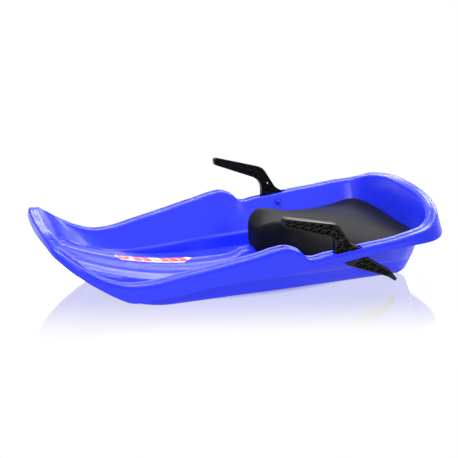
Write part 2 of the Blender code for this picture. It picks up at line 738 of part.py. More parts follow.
def lattice_cells():
    """The pockets in each face of a lever."""
    wall, rib = LEVER_WALL, LEVER_RIB / 2
    grip_mid = middle_of(GRIP_TOP, GRIP_LOW)
    arm_mid = middle_of(ARM_TOP_EDGE, ARM_LOW)
    return (
        truss(grip_mid, GRIP_TOP, GRIP_CELLS, rib, wall)
        + truss(GRIP_LOW, grip_mid, GRIP_CELLS, wall, rib)
        + truss(BEND_FRONT, BEND_MID, BEND_CELLS, wall, rib)
        + truss(BEND_MID, BEND_REAR, BEND_CELLS, rib, wall)
        + truss(NECK_FORE, NECK_MID, NECK_CELLS, wall, rib)
        + truss(NECK_MID, NECK_BACK, NECK_CELLS, rib, wall)
        + truss(HUB_LOW, HUB_TOP, HUB_CELLS, rib, wall)
        + truss(arm_mid, ARM_TOP_EDGE, ARM_CELLS, rib, wall)
        + truss(ARM_LOW, arm_mid, ARM_CELLS, wall, rib)
        + truss(CLAW_LOW, CLAW_TOP, CLAW_CELLS, wall, wall)
    )


def curve_prism(name, outline, thickness):
    """A flat outline as a filled 2D curve with thickness, made into a welded mesh."""
    curve = bpy.data.curves.new(name, "CURVE")
    curve.dimensions = "2D"
    curve.fill_mode = "BOTH"
    curve.extrude = thickness / 2
    spline = curve.splines.new("POLY")
    spline.points.add(len(outline) - 1)
    for point, (x, y) in zip(spline.points, outline):
        point.co = (x, y, 0.0, 1.0)
    spline.use_cyclic_u = True
    guide = bpy.data.objects.new(name + "_curve", curve)
    cutters.objects.link(guide)
    graph = bpy.context.evaluated_depsgraph_get()
    mesh = bpy.data.meshes.new_from_object(guide.evaluated_get(graph))
    bpy.data.objects.remove(guide)
    bm = bmesh.new()
    bm.from_mesh(mesh)
    bpy.data.meshes.remove(mesh)
    bmesh.ops.remove_doubles(bm, verts=bm.verts, dist=1e-6)
    return mesh_from(bm, name)


def make_lever(side, look):
    name = ("left" if side > 0 else "right") + "_brake_lever"
    matrix = pivot_matrix(side)
    if side < 0:
        matrix = matrix @ Matrix.Rotation(RIGHT_LEVER_RAISED, 4, "Z")
    lever = add_object(name, curve_prism(name, lever_outline(), LEVER_THICKNESS), look, matrix)

    bm = bmesh.new()
    face, beyond = LEVER_WEB / 2, LEVER_THICKNESS
    for cell in lattice_cells():
        add_prism(bm, cell, face, beyond)
        add_prism(bm, cell, -beyond, -face)
    boolean(lever, add_object(name + "_cells", mesh_from(bm, name + "_cells"), matrix=matrix))

    # The hub's bore and the neck's hole run through, and the hub's counterbore opens on the outer face.
    bm = bmesh.new()
    add_prism(bm, circle(BUSH_RADIUS + GAP), -beyond, beyond)
    add_prism(bm, circle(NECK_HOLE_RADIUS, NECK_HOLE, 12), -beyond, beyond)
    boolean(lever, add_object(name + "_bore", mesh_from(bm, name + "_bore"), matrix=matrix))
    bm = bmesh.new()
    low, high = (-beyond, 0.0) if side > 0 else (0.0, beyond)
    add_prism(bm, circle(COUNTERBORE_RADIUS), low, high)
    boolean(lever, add_object(name + "_counterbore", mesh_from(bm, name + "_counterbore"), matrix=matrix))


def turned(name, profile, look, matrix, closed=False, steps=TURNED_STEPS):
    """A turned piece: its profile runs down its outer side at +X and is screwed round Z."""
    bm = bmesh.new()
    verts = [bm.verts.new((radius, 0.0, height)) for radius, height in profile]
    for a, b in zip(verts, verts[1:] + (verts[:1] if closed else [])):
        bm.edges.new((a, b))
    mesh = bpy.data.meshes.new(name)
    bm.to_mesh(mesh)
    bm.free()
    piece = add_object(name, mesh, look, matrix)
    screw = piece.modifiers.new("turned", "SCREW")
    screw.steps = steps
    screw.render_steps = steps
    screw.use_merge_vertices = True
    screw.merge_threshold = 0.00001
    screw.use_smooth_shade = False
    return piece


def ring(name, inner, outer, low, high, look, matrix):
    """A washer or a sleeve."""
    return turned(name, [(inner, high), (outer, high), (outer, low), (inner, low)], look, matrix, True)


def make_pivot(side, steel):
    """One lever's bolt, from its head in the tub outwards through the boss, the lever's bush and the nut."""
    name = "left" if side > 0 else "right"
    matrix = axle_matrix(side)
    half = LEVER_THICKNESS / 2
    bore = BOLT_RADIUS + GAP

    washer = boss_seat() + GAP
    head = washer + WASHER_THICKNESS + GAP
    lock = -2 * GAP - WASHER_THICKNESS
    nut = lock - GAP - NUT_HEIGHT
    end = nut - BOLT_TAIL
    dome = [
        (BOLT_HEAD_RADIUS * sin(k * pi / 8),
         head + BOLT_HEAD_LAND + (BOLT_HEAD_HEIGHT - BOLT_HEAD_LAND) * cos(k * pi / 8))
        for k in range(5)
    ]
    profile = dome + [(BOLT_HEAD_RADIUS, head), (BOLT_RADIUS, head), (BOLT_RADIUS, end + BOLT_CHAMFER),
                      (BOLT_RADIUS - BOLT_CHAMFER, end), (0.0, end)]
    turned(name + "_pivot_bolt", profile, steel, matrix)
    ring(name + "_bolt_washer", bore, WASHER_RADIUS, washer, washer + WASHER_THICKNESS, steel, matrix)
    ring(name + "_pivot_bush", bore, BUSH_RADIUS, -GAP, half, steel, matrix)
    thrust = half + GAP
    ring(name + "_thrust_washer", bore, THRUST_WASHER_RADIUS, thrust, thrust + THRUST_WASHER_THICKNESS, steel,
         matrix)
    ring(name + "_lock_washer", bore, WASHER_RADIUS, lock, -2 * GAP, steel, matrix)

    bm = bmesh.new()
    add_prism(bm, circle(NUT_ACROSS_FLATS / sqrt(3), steps=6), nut, nut + NUT_HEIGHT)
    hexagon = add_object(name + "_lock_nut", mesh_from(bm, name + "_lock_nut"), steel, matrix)
    bm = bmesh.new()
    add_prism(bm, circle(bore), nut - 0.005, nut + NUT_HEIGHT + 0.002)
    boolean(hexagon, add_object(name + "_nut_bore", mesh_from(bm, name + "_nut_bore"), matrix=matrix))


def make_seat(look, rings, rows):
    """The saddle: a smoothed cage cut to its outline by the tub's lining, with blind rivet holes."""
    bm = bmesh.new()
    loops = []
    for x, base_y, base_z, edge_y, edge_z, shoulder_y, shoulder_z, middle_z in SEAT_SECTIONS:
        half = [(base_y, base_z), (edge_y, edge_z), (shoulder_y, shoulder_z)]
        loop = [(0.0, base_z), *half, (0.0, middle_z), *[(-y, z) for y, z in reversed(half)]]
        loops.append([bm.verts.new((x * HULL_LENGTH, y * HULL_WIDTH / 2, z)) for y, z in loop])
    add_grid(bm, [loop + loop[:1] for loop in loops])
    for loop in (loops[0], loops[-1]):
        base, middle = loop[0], loop[4]
        sides = (loop[1:4], loop[:4:-1])
        for a, b, c in sides:
            bm.faces.new((base, a, b))
            bm.faces.new((base, b, c, middle))
    bmesh.ops.recalc_face_normals(bm, faces=bm.faces)
    seat = add_object("seat_pad", smooth_mesh(bm, "seat_pad"), look)
    smooth = seat.modifiers.new("soft form", "SUBSURF")
    smooth.levels = SEAT_SMOOTHING
    smooth.render_levels = SEAT_SMOOTHING
    thinned = seat.modifiers.new("fewer facets where it is flattest", "DECIMATE")
    thinned.ratio = SEAT_FACETS_KEPT
    thinned.use_symmetry = True
    thinned.symmetry_axis = "Y"

    # The lining lies a gap inside the tub's floor and walls, closed by a peaked lid.
    bm = bmesh.new()
    bands = add_tub(bm, rings, rows, LIP_POINT + 1)
    bm.normal_update()
    inside = [(vert, vert.co + vert.normal * SEAT_GAP) for vert in bm.verts]
    for vert, place in inside:
        vert.co = place
    lid = bm.verts.new((0.0, 0.0, LID_HEIGHT))
    top = bands[-1]
    for a, b in zip(top, top[1:] + top[:1]):
        bm.faces.new((a, b, lid))
    boolean(seat, add_object("tub_lining", mesh_from(bm, "tub_lining")), "INTERSECT")

    bm = bmesh.new()
    for side in (1, -1):
        for x in rivet_places():
            hole = circle(RIVET_SHANK_RADIUS + RIVET_BARB + GAP, (x, side * RIVET_Y), 16)
            add_prism(bm, hole, 0.0, GROUND_TO_FLOOR - WALL + RIVET_LENGTH + GAP)
    boolean(seat, add_object("seat_holes", mesh_from(bm, "seat_holes")))


def make_rivets(look):
    """Domed heads under the floor, with barbed shanks up into the pad."""
    seat_face = GROUND_TO_FLOOR - WALL - GAP
    top = GROUND_TO_FLOOR - WALL + RIVET_LENGTH
    barbs_from = GROUND_TO_FLOOR + 0.003
    pitch = (top - barbs_from) / RIVET_BARBS
    profile = [(0.0, top)]
    for i in range(RIVET_BARBS):
        tip = top - pitch * i
        profile += [(RIVET_SHANK_RADIUS, tip - 0.15 * pitch),
                    (RIVET_SHANK_RADIUS + RIVET_BARB, tip - 0.75 * pitch),
                    (RIVET_SHANK_RADIUS, tip - 0.85 * pitch)]
    profile += [(RIVET_SHANK_RADIUS, seat_face), (RIVET_HEAD_RADIUS, seat_face),
                (RIVET_HEAD_RADIUS, seat_face - 0.3 * RIVET_HEAD_HEIGHT),
                (0.6 * RIVET_HEAD_RADIUS, seat_face - RIVET_HEAD_HEIGHT), (0.0, seat_face - RIVET_HEAD_HEIGHT)]
    for row, x in zip(("front", "rear"), rivet_places()):
        for side, name in ((1, "left"), (-1, "right")):
            place = Matrix.Translation((x, side * RIVET_Y, 0.0))
            turned(f"{row}_{name}_seat_rivet", profile, look, place, steps=12)


def main():
    start_scene()
    blue = material("blue polyethylene", (0.055, 0.075, 0.90), 0.30)
    black = material("black nylon", (0.012, 0.012, 0.013), 0.45)
    foam = material("charcoal foam", (0.055, 0.056, 0.060), 0.55)
    steel = material("zinc plated steel", (0.62, 0.63, 0.65), 0.35, 1.0)
    cap = material("black polypropylene", (0.02, 0.02, 0.022), 0.5)
    rings, rows = tub_surface()
    make_hull(blue, rings, rows)
    make_seat(foam, rings, rows)
    make_rivets(cap)
    for side in (1, -1):
        make_lever(side, black)
        make_pivot(side, steel)


main()
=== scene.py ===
"""Looks of a moulded bobsled with a foam saddle and two hand brakes, on a pale studio floor.

Metres, +X towards the nose, +Y to the rider's left, +Z up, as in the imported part.
"""

import bisect
import json
from itertools import product
from math import cos, pi, radians, sin, sqrt

import bmesh
import bpy
from mathutils import Matrix, Vector

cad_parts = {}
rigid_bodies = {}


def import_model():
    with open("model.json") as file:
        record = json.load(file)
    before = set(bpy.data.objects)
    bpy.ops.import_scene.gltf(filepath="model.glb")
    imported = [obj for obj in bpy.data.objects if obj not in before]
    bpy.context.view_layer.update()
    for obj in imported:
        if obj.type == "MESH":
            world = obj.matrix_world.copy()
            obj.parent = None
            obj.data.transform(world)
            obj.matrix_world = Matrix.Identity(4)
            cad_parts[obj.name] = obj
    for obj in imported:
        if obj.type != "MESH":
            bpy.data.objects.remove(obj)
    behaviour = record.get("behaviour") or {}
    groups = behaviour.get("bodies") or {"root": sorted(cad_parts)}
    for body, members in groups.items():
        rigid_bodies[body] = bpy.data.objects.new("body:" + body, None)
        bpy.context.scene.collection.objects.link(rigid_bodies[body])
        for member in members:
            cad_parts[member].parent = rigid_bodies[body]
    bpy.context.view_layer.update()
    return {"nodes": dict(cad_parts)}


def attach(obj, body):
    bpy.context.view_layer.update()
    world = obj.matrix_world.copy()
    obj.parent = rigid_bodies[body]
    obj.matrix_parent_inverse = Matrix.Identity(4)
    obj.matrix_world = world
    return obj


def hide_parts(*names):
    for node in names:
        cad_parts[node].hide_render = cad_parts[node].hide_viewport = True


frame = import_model()

# Running gap between pieces that turn on each other.
GAP = 0.0003

# Tub: one moulded wall, drafted so that the hulls stack. The floor's grid lines are named by how far they lie
# from the middle where the tub is full width. At its crest and shoulder the ridge has a share of its rise.
WALL = 0.003
GROUND_TO_FLOOR = 0.034
FLOOR_SWEEP_START = 0.080
FLOOR_SWEEP_RADIUS = 0.820
RIDGE_RISE = 0.018
SEAT_RIDGE_RISE = 0.031
SEAT_RIDGE_FRONT = -0.009
RIDGE_STEP_LENGTH = 0.028
RIDGE_END = -0.360
RIDGE_END_LENGTH = 0.030
RIDGE_CREST_HALF = 0.012
RIDGE_SHOULDER_HALF = 0.026
RIDGE_FOOT_HALF = 0.042
RIDGE_CREST_SHARE = 0.95
RIDGE_SHOULDER_SHARE = 0.6
FLOOR_MIDDLE = 0.070
RUNNER_INNER_EDGE = 0.102
RUNNER_INNER_FLAT = 0.117
RUNNER_OUTER_FLAT = 0.131
RUNNER_FRONT = 0.200
RUNNER_FRONT_RADIUS = 0.250
RUNNER_REAR = -0.358
RUNNER_REAR_RADIUS = 0.033
NOSE_BOW_LENGTH = 0.120
TAIL_BOW_LENGTH = 0.100

# Foot of the tub's wall: the corner beside the runner, and the small ledge above it, which fades out at the
# tail. Where the wall is narrow, each takes at most a share of it.
RUNNER_CORNER = 0.0095
CORNER_WIDTH_SHARE = 0.35
CORNER_RISE_SHARE = 0.3
CHINE_LEDGE = 0.007
LEDGE_WIDTH_SHARE = 0.3
CHINE_LEDGE_DROP = 0.004
LEDGE_END = -0.37
LEDGE_FADE = 0.08
FADED_LEDGE_PLACE = 0.25

# Rim: the line of its groove round the left half, from the nose's middle to the tail's, as
# station: (x, y, z). The stations from 12 to 15 make the arm rest's peak and the step behind it.
RIM_LINE = {
    0: (0.472, 0.000, 0.184),
    1: (0.465, 0.1156, 0.182),
    2: (0.4545, 0.151, 0.170),
    3: (0.438, 0.171, 0.156),
    4: (0.4205, 0.184, 0.1434),
    5: (0.400, 0.1905, 0.128),
    6: (0.359, 0.1926, 0.1027),
    7: (0.316, 0.1915, 0.0877),
    8: (0.270, 0.1926, 0.0867),
    9: (0.205, 0.1985, 0.098),
    10: (0.140, 0.2065, 0.109),
    11: (0.050, 0.2161, 0.1262),
    12: (-0.047, 0.2208, 0.1372),
    13: (-0.0625, 0.2214, 0.1295),
    14: (-0.0765, 0.2220, 0.1150),
    15: (-0.0868, 0.2223, 0.1090),
    16: (-0.127, 0.2232, 0.1122),
    17: (-0.239, 0.223, 0.1235),
    18: (-0.300, 0.222, 0.1285),
    19: (-0.343, 0.2175, 0.135),
    20: (-0.375, 0.2105, 0.139),
    21: (-0.3955, 0.200, 0.1435),
    22: (-0.411, 0.186, 0.151),
    23: (-0.4225, 0.169, 0.160),
    24: (-0.439, 0.120, 0.1725),
    25: (-0.446, 0.000, 0.1825),
}
FRONT_CORNER = 2
REAR_CORNER = 21
TAIL_STATION = 25

# Chine: the foot of the tub's wall, by the same stations.
CHINE_LINE = {
    0: (0.432, 0.000, 0.118),
    1: (0.424, 0.088, 0.114),
    2: (0.408, 0.113, 0.103),
    3: (0.388, 0.129, 0.089),
    4: (0.365, 0.138, 0.0755),
    5: (0.341, 0.144, 0.0625),
    6: (0.307, 0.149, 0.050),
    7: (0.275, 0.1505, 0.0425),
    9: (0.198, 0.1525, 0.0375),
    10: (0.140, 0.153, 0.0395),
    11: (0.050, 0.1565, 0.044),
    12: (-0.030, 0.160, 0.045),
    15: (-0.103, 0.1645, 0.0465),
    17: (-0.239, 0.170, 0.051),
    18: (-0.290, 0.1695, 0.052),
    19: (-0.333, 0.167, 0.053),
    20: (-0.367, 0.1605, 0.054),
    21: (-0.3905, 0.148, 0.055),
    22: (-0.402, 0.129, 0.0555),
    23: (-0.408, 0.108, 0.056),
    25: (-0.415, 0.000, 0.056),
}

# Runners: their flats' outer edge in plan at the two ends. Between them it lies at RUNNER_OUTER_FLAT.
RUNNER_LINE = {
    0: (0.418, 0.000),
    1: (0.409, 0.078),
    2: (0.391, 0.101),
    3: (0.369, 0.1155),
    4: (0.346, 0.124),
    5: (0.322, 0.129),
    6: (0.291, RUNNER_OUTER_FLAT),
    7: (0.262, RUNNER_OUTER_FLAT),
    9: (0.195, RUNNER_OUTER_FLAT),
    10: (0.140, RUNNER_OUTER_FLAT),
    12: (-0.030, RUNNER_OUTER_FLAT),
    15: (-0.103, RUNNER_OUTER_FLAT),
    17: (-0.239, RUNNER_OUTER_FLAT),
    18: (-0.285, RUNNER_OUTER_FLAT),
    19: (-0.325, RUNNER_OUTER_FLAT),
    20: (-0.354, 0.1305),
    21: (-0.374, 0.127),
    22: (-0.385, 0.111),
    23: (-0.392, 0.092),
    25: (-0.398, 0.000),
}

# Rim band: how far it reaches in and out from its groove, how much its outer side stands above its inner one,
# and the groove's depth. Then its section as fractions of the reaches, with heights.
RIM_BAND = {0: (0.015, 0.012, 0.0, 0.0006), 1: (0.0155, 0.013, 0.0, 0.0006),
            2: (0.016, 0.015, 0.0, 0.0030), 6: (0.016, 0.0165, 0.0, 0.0035),
            9: (0.016, 0.0175, 0.0, 0.0035), 10: (0.016, 0.0175, 0.0, 0.0035),
            18: (0.016, 0.0175, 0.0, 0.0035), 19: (0.016, 0.0175, 0.0, 0.0035),
            21: (0.014, 0.0175, 0.0010, 0.0035), 22: (0.012, 0.0180, 0.0025, 0.0030),
            23: (0.011, 0.0185, 0.0035, 0.0010), 24: (0.010, 0.0170, 0.0030, 0.0),
            25: (0.010, 0.0150, 0.0045, 0.0)}
LIP_DROP = 0.006
RIM_SECTION = ((-0.81, -0.0010), (-0.50, 0.0), (-0.14, -0.0004), (0.06, 0.0), (0.26, -0.0004),
               (0.62, 0.0), (0.91, -0.0025))
GROOVE_POINT = 3
LIP_POINT = 6
SKIRT_SHOULDER = 0.008

# Skirt: how far its edge hangs below the rim and flares out from the band, by station.
SKIRT = {0: (0.018, 0.001), 1: (0.016, 0.001), 2: (0.015, 0.001), 3: (0.017, 0.001), 4: (0.021, 0.001),
         5: (0.024, 0.001), 6: (0.030, 0.001), 7: (0.0385, 0.001), 8: (0.038, 0.001), 9: (0.043, 0.0015),
         10: (0.042, 0.002), 11: (0.048, 0.003), 12: (0.0545, 0.003), 13: (0.045, 0.0025),
         14: (0.0315, 0.001), 15: (0.0247, 0.0005), 16: (0.024, 0.001), 17: (0.0215, 0.001),
         18: (0.021, 0.001), 19: (0.025, 0.003), 20: (0.029, 0.006), 21: (0.034, 0.009), 22: (0.040, 0.012),
         23: (0.046, 0.013), 24: (0.055, 0.016), 25: (0.062, 0.019)}

# Rope holes in the groove, at the nose's corners and at the arm rests' peaks, as (station, radius), and how
# far the cut reaches above and below the groove.
ROPE_HOLES = ((1.0, 0.0032), (11.74, 0.0042))
ROPE_HOLE_REACH = 4 * WALL

# Brake levers: the pivot on the left side, the lean of the levers' plane, and their slots in the rim.
PIVOT = (-0.185498, 0.224721, 0.098046)
LEVER_LEAN = radians(7.5)
LEVER_THICKNESS = 0.014
NECK_FRONT = 0.0385
SLOT_REAR = 0.0295
SLOT_SIDE_CLEARANCE = 0.003
SLOT_FOOT = 0.003
SLOT_TOP = 0.040

# Bosses that carry the pivot bolts, from the thrust washer to their seat on the wall, along the pivot.
THRUST_WASHER_THICKNESS = 0.001
BOSS_RADIUS = 0.0078
BOSS_SEAT = 0.030043

# Points round a hole or a boss.
ROUND_POINTS = 48

# Seat: sections across the saddle, as x, then the bottom's half width and height, the edge's and the
# shoulder's, and the height of the crown, which is point 4 of a loop. The front loop is creased, and so are
# the lines along the two shoulders (points 3 and 5) over the pommel.
SEAT_SECTIONS = (
    (-0.036, 0.020, 0.060, 0.034, 0.082, 0.032, 0.117, 0.113),
    (-0.053, 0.040, 0.036, 0.062, 0.088, 0.056, 0.136, 0.125),
    (-0.078, 0.050, 0.020, 0.078, 0.092, 0.068, 0.144, 0.134),
    (-0.104, 0.060, 0.020, 0.086, 0.078, 0.060, 0.138, 0.138),
    (-0.134, 0.090, 0.020, 0.140, 0.064, 0.058, 0.132, 0.137),
    (-0.175, 0.110, 0.020, 0.205, 0.060, 0.074, 0.124, 0.132),
    (-0.270, 0.110, 0.020, 0.222, 0.066, 0.100, 0.107, 0.116),
    (-0.345, 0.110, 0.020, 0.222, 0.086, 0.115, 0.099, 0.104),
    (-0.385, 0.110, 0.020, 0.222, 0.108, 0.118, 0.097, 0.097),
    (-0.450, 0.110, 0.020, 0.222, 0.106, 0.120, 0.090, 0.089),
)
CROWN = 4
FRONT_CREASE = 0.25
POMMEL_CREASE = 0.35
POMMEL_LOOPS = range(4)
SHOULDER_LINES = (3, 5)
SEAT_SMOOTHING = 4

# The seat is cut to the tub's lining, which lies inside the tub by a small gap and is closed by a pointed lid
# above the seat. A fine skin over the result then has its edges turned.
SEAT_GAP = 0.0005
LID_HEIGHT = 0.250
SKIN_VOXEL = 0.0022
SKIN_ROUNDING = 0.5
SKIN_ROUNDS = 6

# Brake levers in the looks: points closer than the weld become one, and so do faces that turn less than the
# flat angle. Edges sharper than the corner angle are eased.
LEVER_WELD = 2e-5
LEVER_FLAT = radians(1.5)
LEVER_CORNER = radians(40)
LEVER_EASING = 0.0004
LEVER_EASING_STEPS = 2

# Degrees between two faces above which their edge is shaded sharp.
HULL_SHARP = 35
SEAT_SHARP = 80
LEVER_SHARP = 30
FILM_SHARP = 35

# Finer steps than the part's: the stations of the rows, and the steps between neighbouring rows and columns.
ROWS_AT = (2, 2.6, 3.2, 3.9, 4.6, 5.2, 5.8, 6.4, 7, 7.6, 8.2, 8.8, 9.6, 10.4, 11.1, 11.7, 12, 12.5, 13, 13.5,
           14, 14.5, 15, 16, 17, 18, 19, 20, 21)
FLOOR_COLUMNS = (0.0, RIDGE_CREST_HALF, RIDGE_SHOULDER_HALF, RIDGE_FOOT_HALF, FLOOR_MIDDLE,
                 RUNNER_INNER_EDGE, RUNNER_INNER_FLAT, RUNNER_OUTER_FLAT)
FINE_STEPS = 3

# Turns in place of a section's corners: points on each, the share of a side that one may take, and how far it
# reaches at most, by the corner's place in the section. The lining goes up to the lip's turn.
TURN_POINTS = 4
SOFT_TURN = 0.42
TURN_REACH = {3: 0.003, 4: 0.003, 5: 0.010, 6: 0.0026, 14: 0.003, 15: 0.006}
FREE_REACH = 1.0
LINING_DEPTH = (LIP_POINT - 1) * TURN_POINTS + 2

# How far the floor's profile is averaged to each side, and in how many steps.
PROFILE_BLEND = 0.011
BLEND_STEPS = 3

# Steps of the searches along the rim: the probe that finds its direction, and the halvings that find a place.
PROBE = 0.001
HALVINGS = 40

# Sticker on the ridge, a made-up design in plan, in three layers that lie on each other: a white plate with
# pointed ends, red bars of one size behind a red oval, and a narrower golden bar with two golden ovals. Bars
# are given by their middle's x, then (length, width), and ovals as (x, y, length, width).
FILM = 0.0002
FILM_STEPS = 6
FILM_RINGS = (1.0, 0.8, 0.6, 0.4, 0.2)
OVAL_POINTS = 24
PLATE = ((0.304, 0.0), (0.290, 0.0155), (0.262, 0.0150), (0.140, 0.0170), (0.116, 0.0),
         (0.128, -0.0140), (0.290, -0.0150))
PLATE_LIFT = 0.0004
RED_BARS_AT = (0.2515, 0.2295, 0.186, 0.164, 0.142)
RED_BAR = (0.0195, 0.026)
RED_OVALS = ((0.283, 0.0, 0.032, 0.0265),)
RED_LIFT = 0.0007
GOLD_BARS_AT = (0.2078,)
GOLD_BAR = (0.013, 0.024)
GOLD_OVALS = ((0.283, 0.0, 0.012, 0.011), (0.172, 0.0135, 0.010, 0.005))
GOLD_LIFT = 0.0010
BAR_SLANT = -0.007

# Gloss of a material: how much its roughness varies to each side, and in how many patches to a metre.
GLOSS_WEAR = 0.04
GLOSS_PATCHES = 9.0

# Floor: the share of it that is plain white near the sled, growing to all of it further out, and less in an
# oval under the hull, where the shadow stays.
FLOOR_HALF = 6.0
FLOOR_ROUGHNESS = 0.9
FLOOR_GLOW = 0.92
GLOW_FADE = (0.5, 0.85)
UNDER_GLOW = 0.1
UNDER_FADE = (0.8, 1.12)
UNDER_LENGTH = 0.36
UNDER_MIDDLE = -0.06
UNDER_WIDTH = 0.15

# Mirror image in the floor: its share beside the hull, the axis across the sled along which it fades to both
# sides, and how far towards the ends it goes on before it fades there too.
MIRROR_SHARE = 0.35
MIRROR_ROUGHNESS = 0.06
MIRROR_FADE = (0.13, 0.39)
MIRROR_AXIS = (0.337, 0.942, 0.0)
MIRROR_HALF_LENGTH = 0.42

# Room: its strength as light on matt surfaces, and the share of it left near the horizon, by the height of a
# direction.
ROOM_LIGHT = 0.75
HORIZON_LIGHT = 0.2
HORIZON_FADE = (0.15, 0.34)

# Lights, as name, place, target, size and power: a strip for the rim's bright line, a softbox behind the sled
# that its upper faces mirror, one for the tail's wall, and a weak fill from the camera's side.
LIGHTS = (
    ("overhead strip", (0.1, -0.35, 1.9), (0.0, 0.0, 0.0), (2.4, 0.05), 26.0),
    ("back softbox", (-0.65, -2.12, 0.98), (0.0, 0.0, 0.1), (1.9, 0.40), 14.0),
    ("tail light", (-0.95, -0.35, 0.80), (-0.35, 0.0, 0.1), (0.7, 0.4), 9.0),
    ("front fill", (1.2, 2.2, 1.1), (0.0, 0.0, 0.1), (1.2, 0.8), 20.0),
)

# Camera, worked out from pairs of mirrored points on the rim.
CAMERA_PLACE = (0.8034, 2.1859, 0.9320)
CAMERA_TARGET = (0.022, 0.0, 0.1145)
CAMERA_LENS = 80.96
CAMERA_SENSOR = 36.0

parts = bpy.data.collections.new("looks")
cutters = bpy.data.collections.new("cutters")
for collection in (parts, cutters):
    bpy.context.scene.collection.children.link(collection)


def spread(values, steps):
    """The values with steps - 1 more between each two."""
    fine = [a + (b - a) * k / steps for a, b in zip(values, values[1:]) for k in range(steps)]
    return fine + [values[-1]]


class Guide:
    """A smooth curve through values at stations, carried on past the tub's middle as its mirror image."""

    def __init__(self, values, distances, mirrored):
        stations = sorted(values)
        flip = [-1.0 if i in mirrored else 1.0 for i in range(len(values[stations[0]]))]
        knots = [distances[s] for s in stations]
        points = [values[s] for s in stations]
        self.knots = [2 * knots[0] - knots[1], *knots, 2 * knots[-1] - knots[-2]]
        first = [a * b for a, b in zip(points[1], flip)]
        last = [a * b for a, b in zip(points[-2], flip)]
        self.points = [first, *points, last]

    def slope(self, i, axis):
        before = self.knots[i] - self.knots[i - 1]
        after = self.knots[i + 1] - self.knots[i]
        rise_before = (self.points[i][axis] - self.points[i - 1][axis]) / before
        rise_after = (self.points[i + 1][axis] - self.points[i][axis]) / after
        return (rise_before * after + rise_after * before) / (before + after)

    def at(self, distance):
        i = min(max(bisect.bisect_right(self.knots, distance) - 1, 1), len(self.knots) - 3)
        length = self.knots[i + 1] - self.knots[i]
        t = (distance - self.knots[i]) / length
        start, end = (1 + 2 * t) * (1 - t) ** 2, t * t * (3 - 2 * t)
        leave, arrive = t * (1 - t) ** 2 * length, t * t * (t - 1) * length
        return [
            start * self.points[i][axis] + end * self.points[i + 1][axis]
            + leave * self.slope(i, axis) + arrive * self.slope(i + 1, axis)
            for axis in range(len(self.points[i]))
        ]


def rim_distances():
    """How far each station lies along the rim from the nose's middle."""
    distances = {0: 0.0}
    for station in range(1, TAIL_STATION + 1):
        step = Vector(RIM_LINE[station]) - Vector(RIM_LINE[station - 1])
        distances[station] = distances[station - 1] + step.length
    return distances


DISTANCES = rim_distances()
RIM = Guide(RIM_LINE, DISTANCES, {1})
CHINE = Guide(CHINE_LINE, DISTANCES, {1})
RUNNER = Guide(RUNNER_LINE, DISTANCES, {1})
BAND = Guide(RIM_BAND, DISTANCES, set())
DRAPE = Guide(SKIRT, DISTANCES, set())


def distance_at(station):
    """How far along the rim a place between two stations lies."""
    whole = min(int(station), TAIL_STATION - 1)
    return DISTANCES[whole] + (station - whole) * (DISTANCES[whole + 1] - DISTANCES[whole])


def ease(t):
    """From 0 to 1 with soft ends."""
    t = min(max(t, 0.0), 1.0)
    return t * t * (3 - 2 * t)


def between(x, table):
    """Linear interpolation in a list of (position, height) pairs."""
    if x <= table[0][0]:
        return table[0][1]
    for (x0, z0), (x1, z1) in zip(table, table[1:]):
        if x <= x1:
            return z0 + (z1 - z0) * (x - x0) / (x1 - x0)
    return table[-1][1]


def sweep(x, start, radius):
    """How far an arc that starts level at `start` has risen by x."""
    along = min(max(x - start, 0.0), radius)
    return radius - sqrt(radius * radius - along * along)


def floor_height(x, column):
    """The floor's top at x, on the grid line `column` from the middle where the tub is full width."""
    floor = GROUND_TO_FLOOR + sweep(x, FLOOR_SWEEP_START, FLOOR_SWEEP_RADIUS)
    runner = WALL + sweep(x, RUNNER_FRONT, RUNNER_FRONT_RADIUS) + sweep(-x, -RUNNER_REAR, RUNNER_REAR_RADIUS)
    runner = min(runner, floor)
    step = ease((SEAT_RIDGE_FRONT + RIDGE_STEP_LENGTH - x) / RIDGE_STEP_LENGTH)
    rise = RIDGE_RISE + (SEAT_RIDGE_RISE - RIDGE_RISE) * step
    rise *= ease((x - RIDGE_END) / RIDGE_END_LENGTH)
    profile = (
        (0.0, floor + rise),
        (RIDGE_CREST_HALF, floor + RIDGE_CREST_SHARE * rise),
        (RIDGE_SHOULDER_HALF, floor + RIDGE_SHOULDER_SHARE * rise),
        (RIDGE_FOOT_HALF, floor),
        (RUNNER_INNER_EDGE, floor),
        (RUNNER_INNER_FLAT, runner),
        (RUNNER_OUTER_FLAT, runner),
    )
    spots = [abs(column + PROFILE_BLEND * k / BLEND_STEPS) for k in range(-BLEND_STEPS, BLEND_STEPS + 1)]
    return sum(between(spot, profile) for spot in spots) / len(spots)


def outward(distance):
    """The rim's outward direction in plan."""
    ahead, behind = RIM.at(distance + PROBE), RIM.at(distance - PROBE)
    direction = Vector((ahead[1] - behind[1], behind[0] - ahead[0], 0.0))
    return direction.normalized()


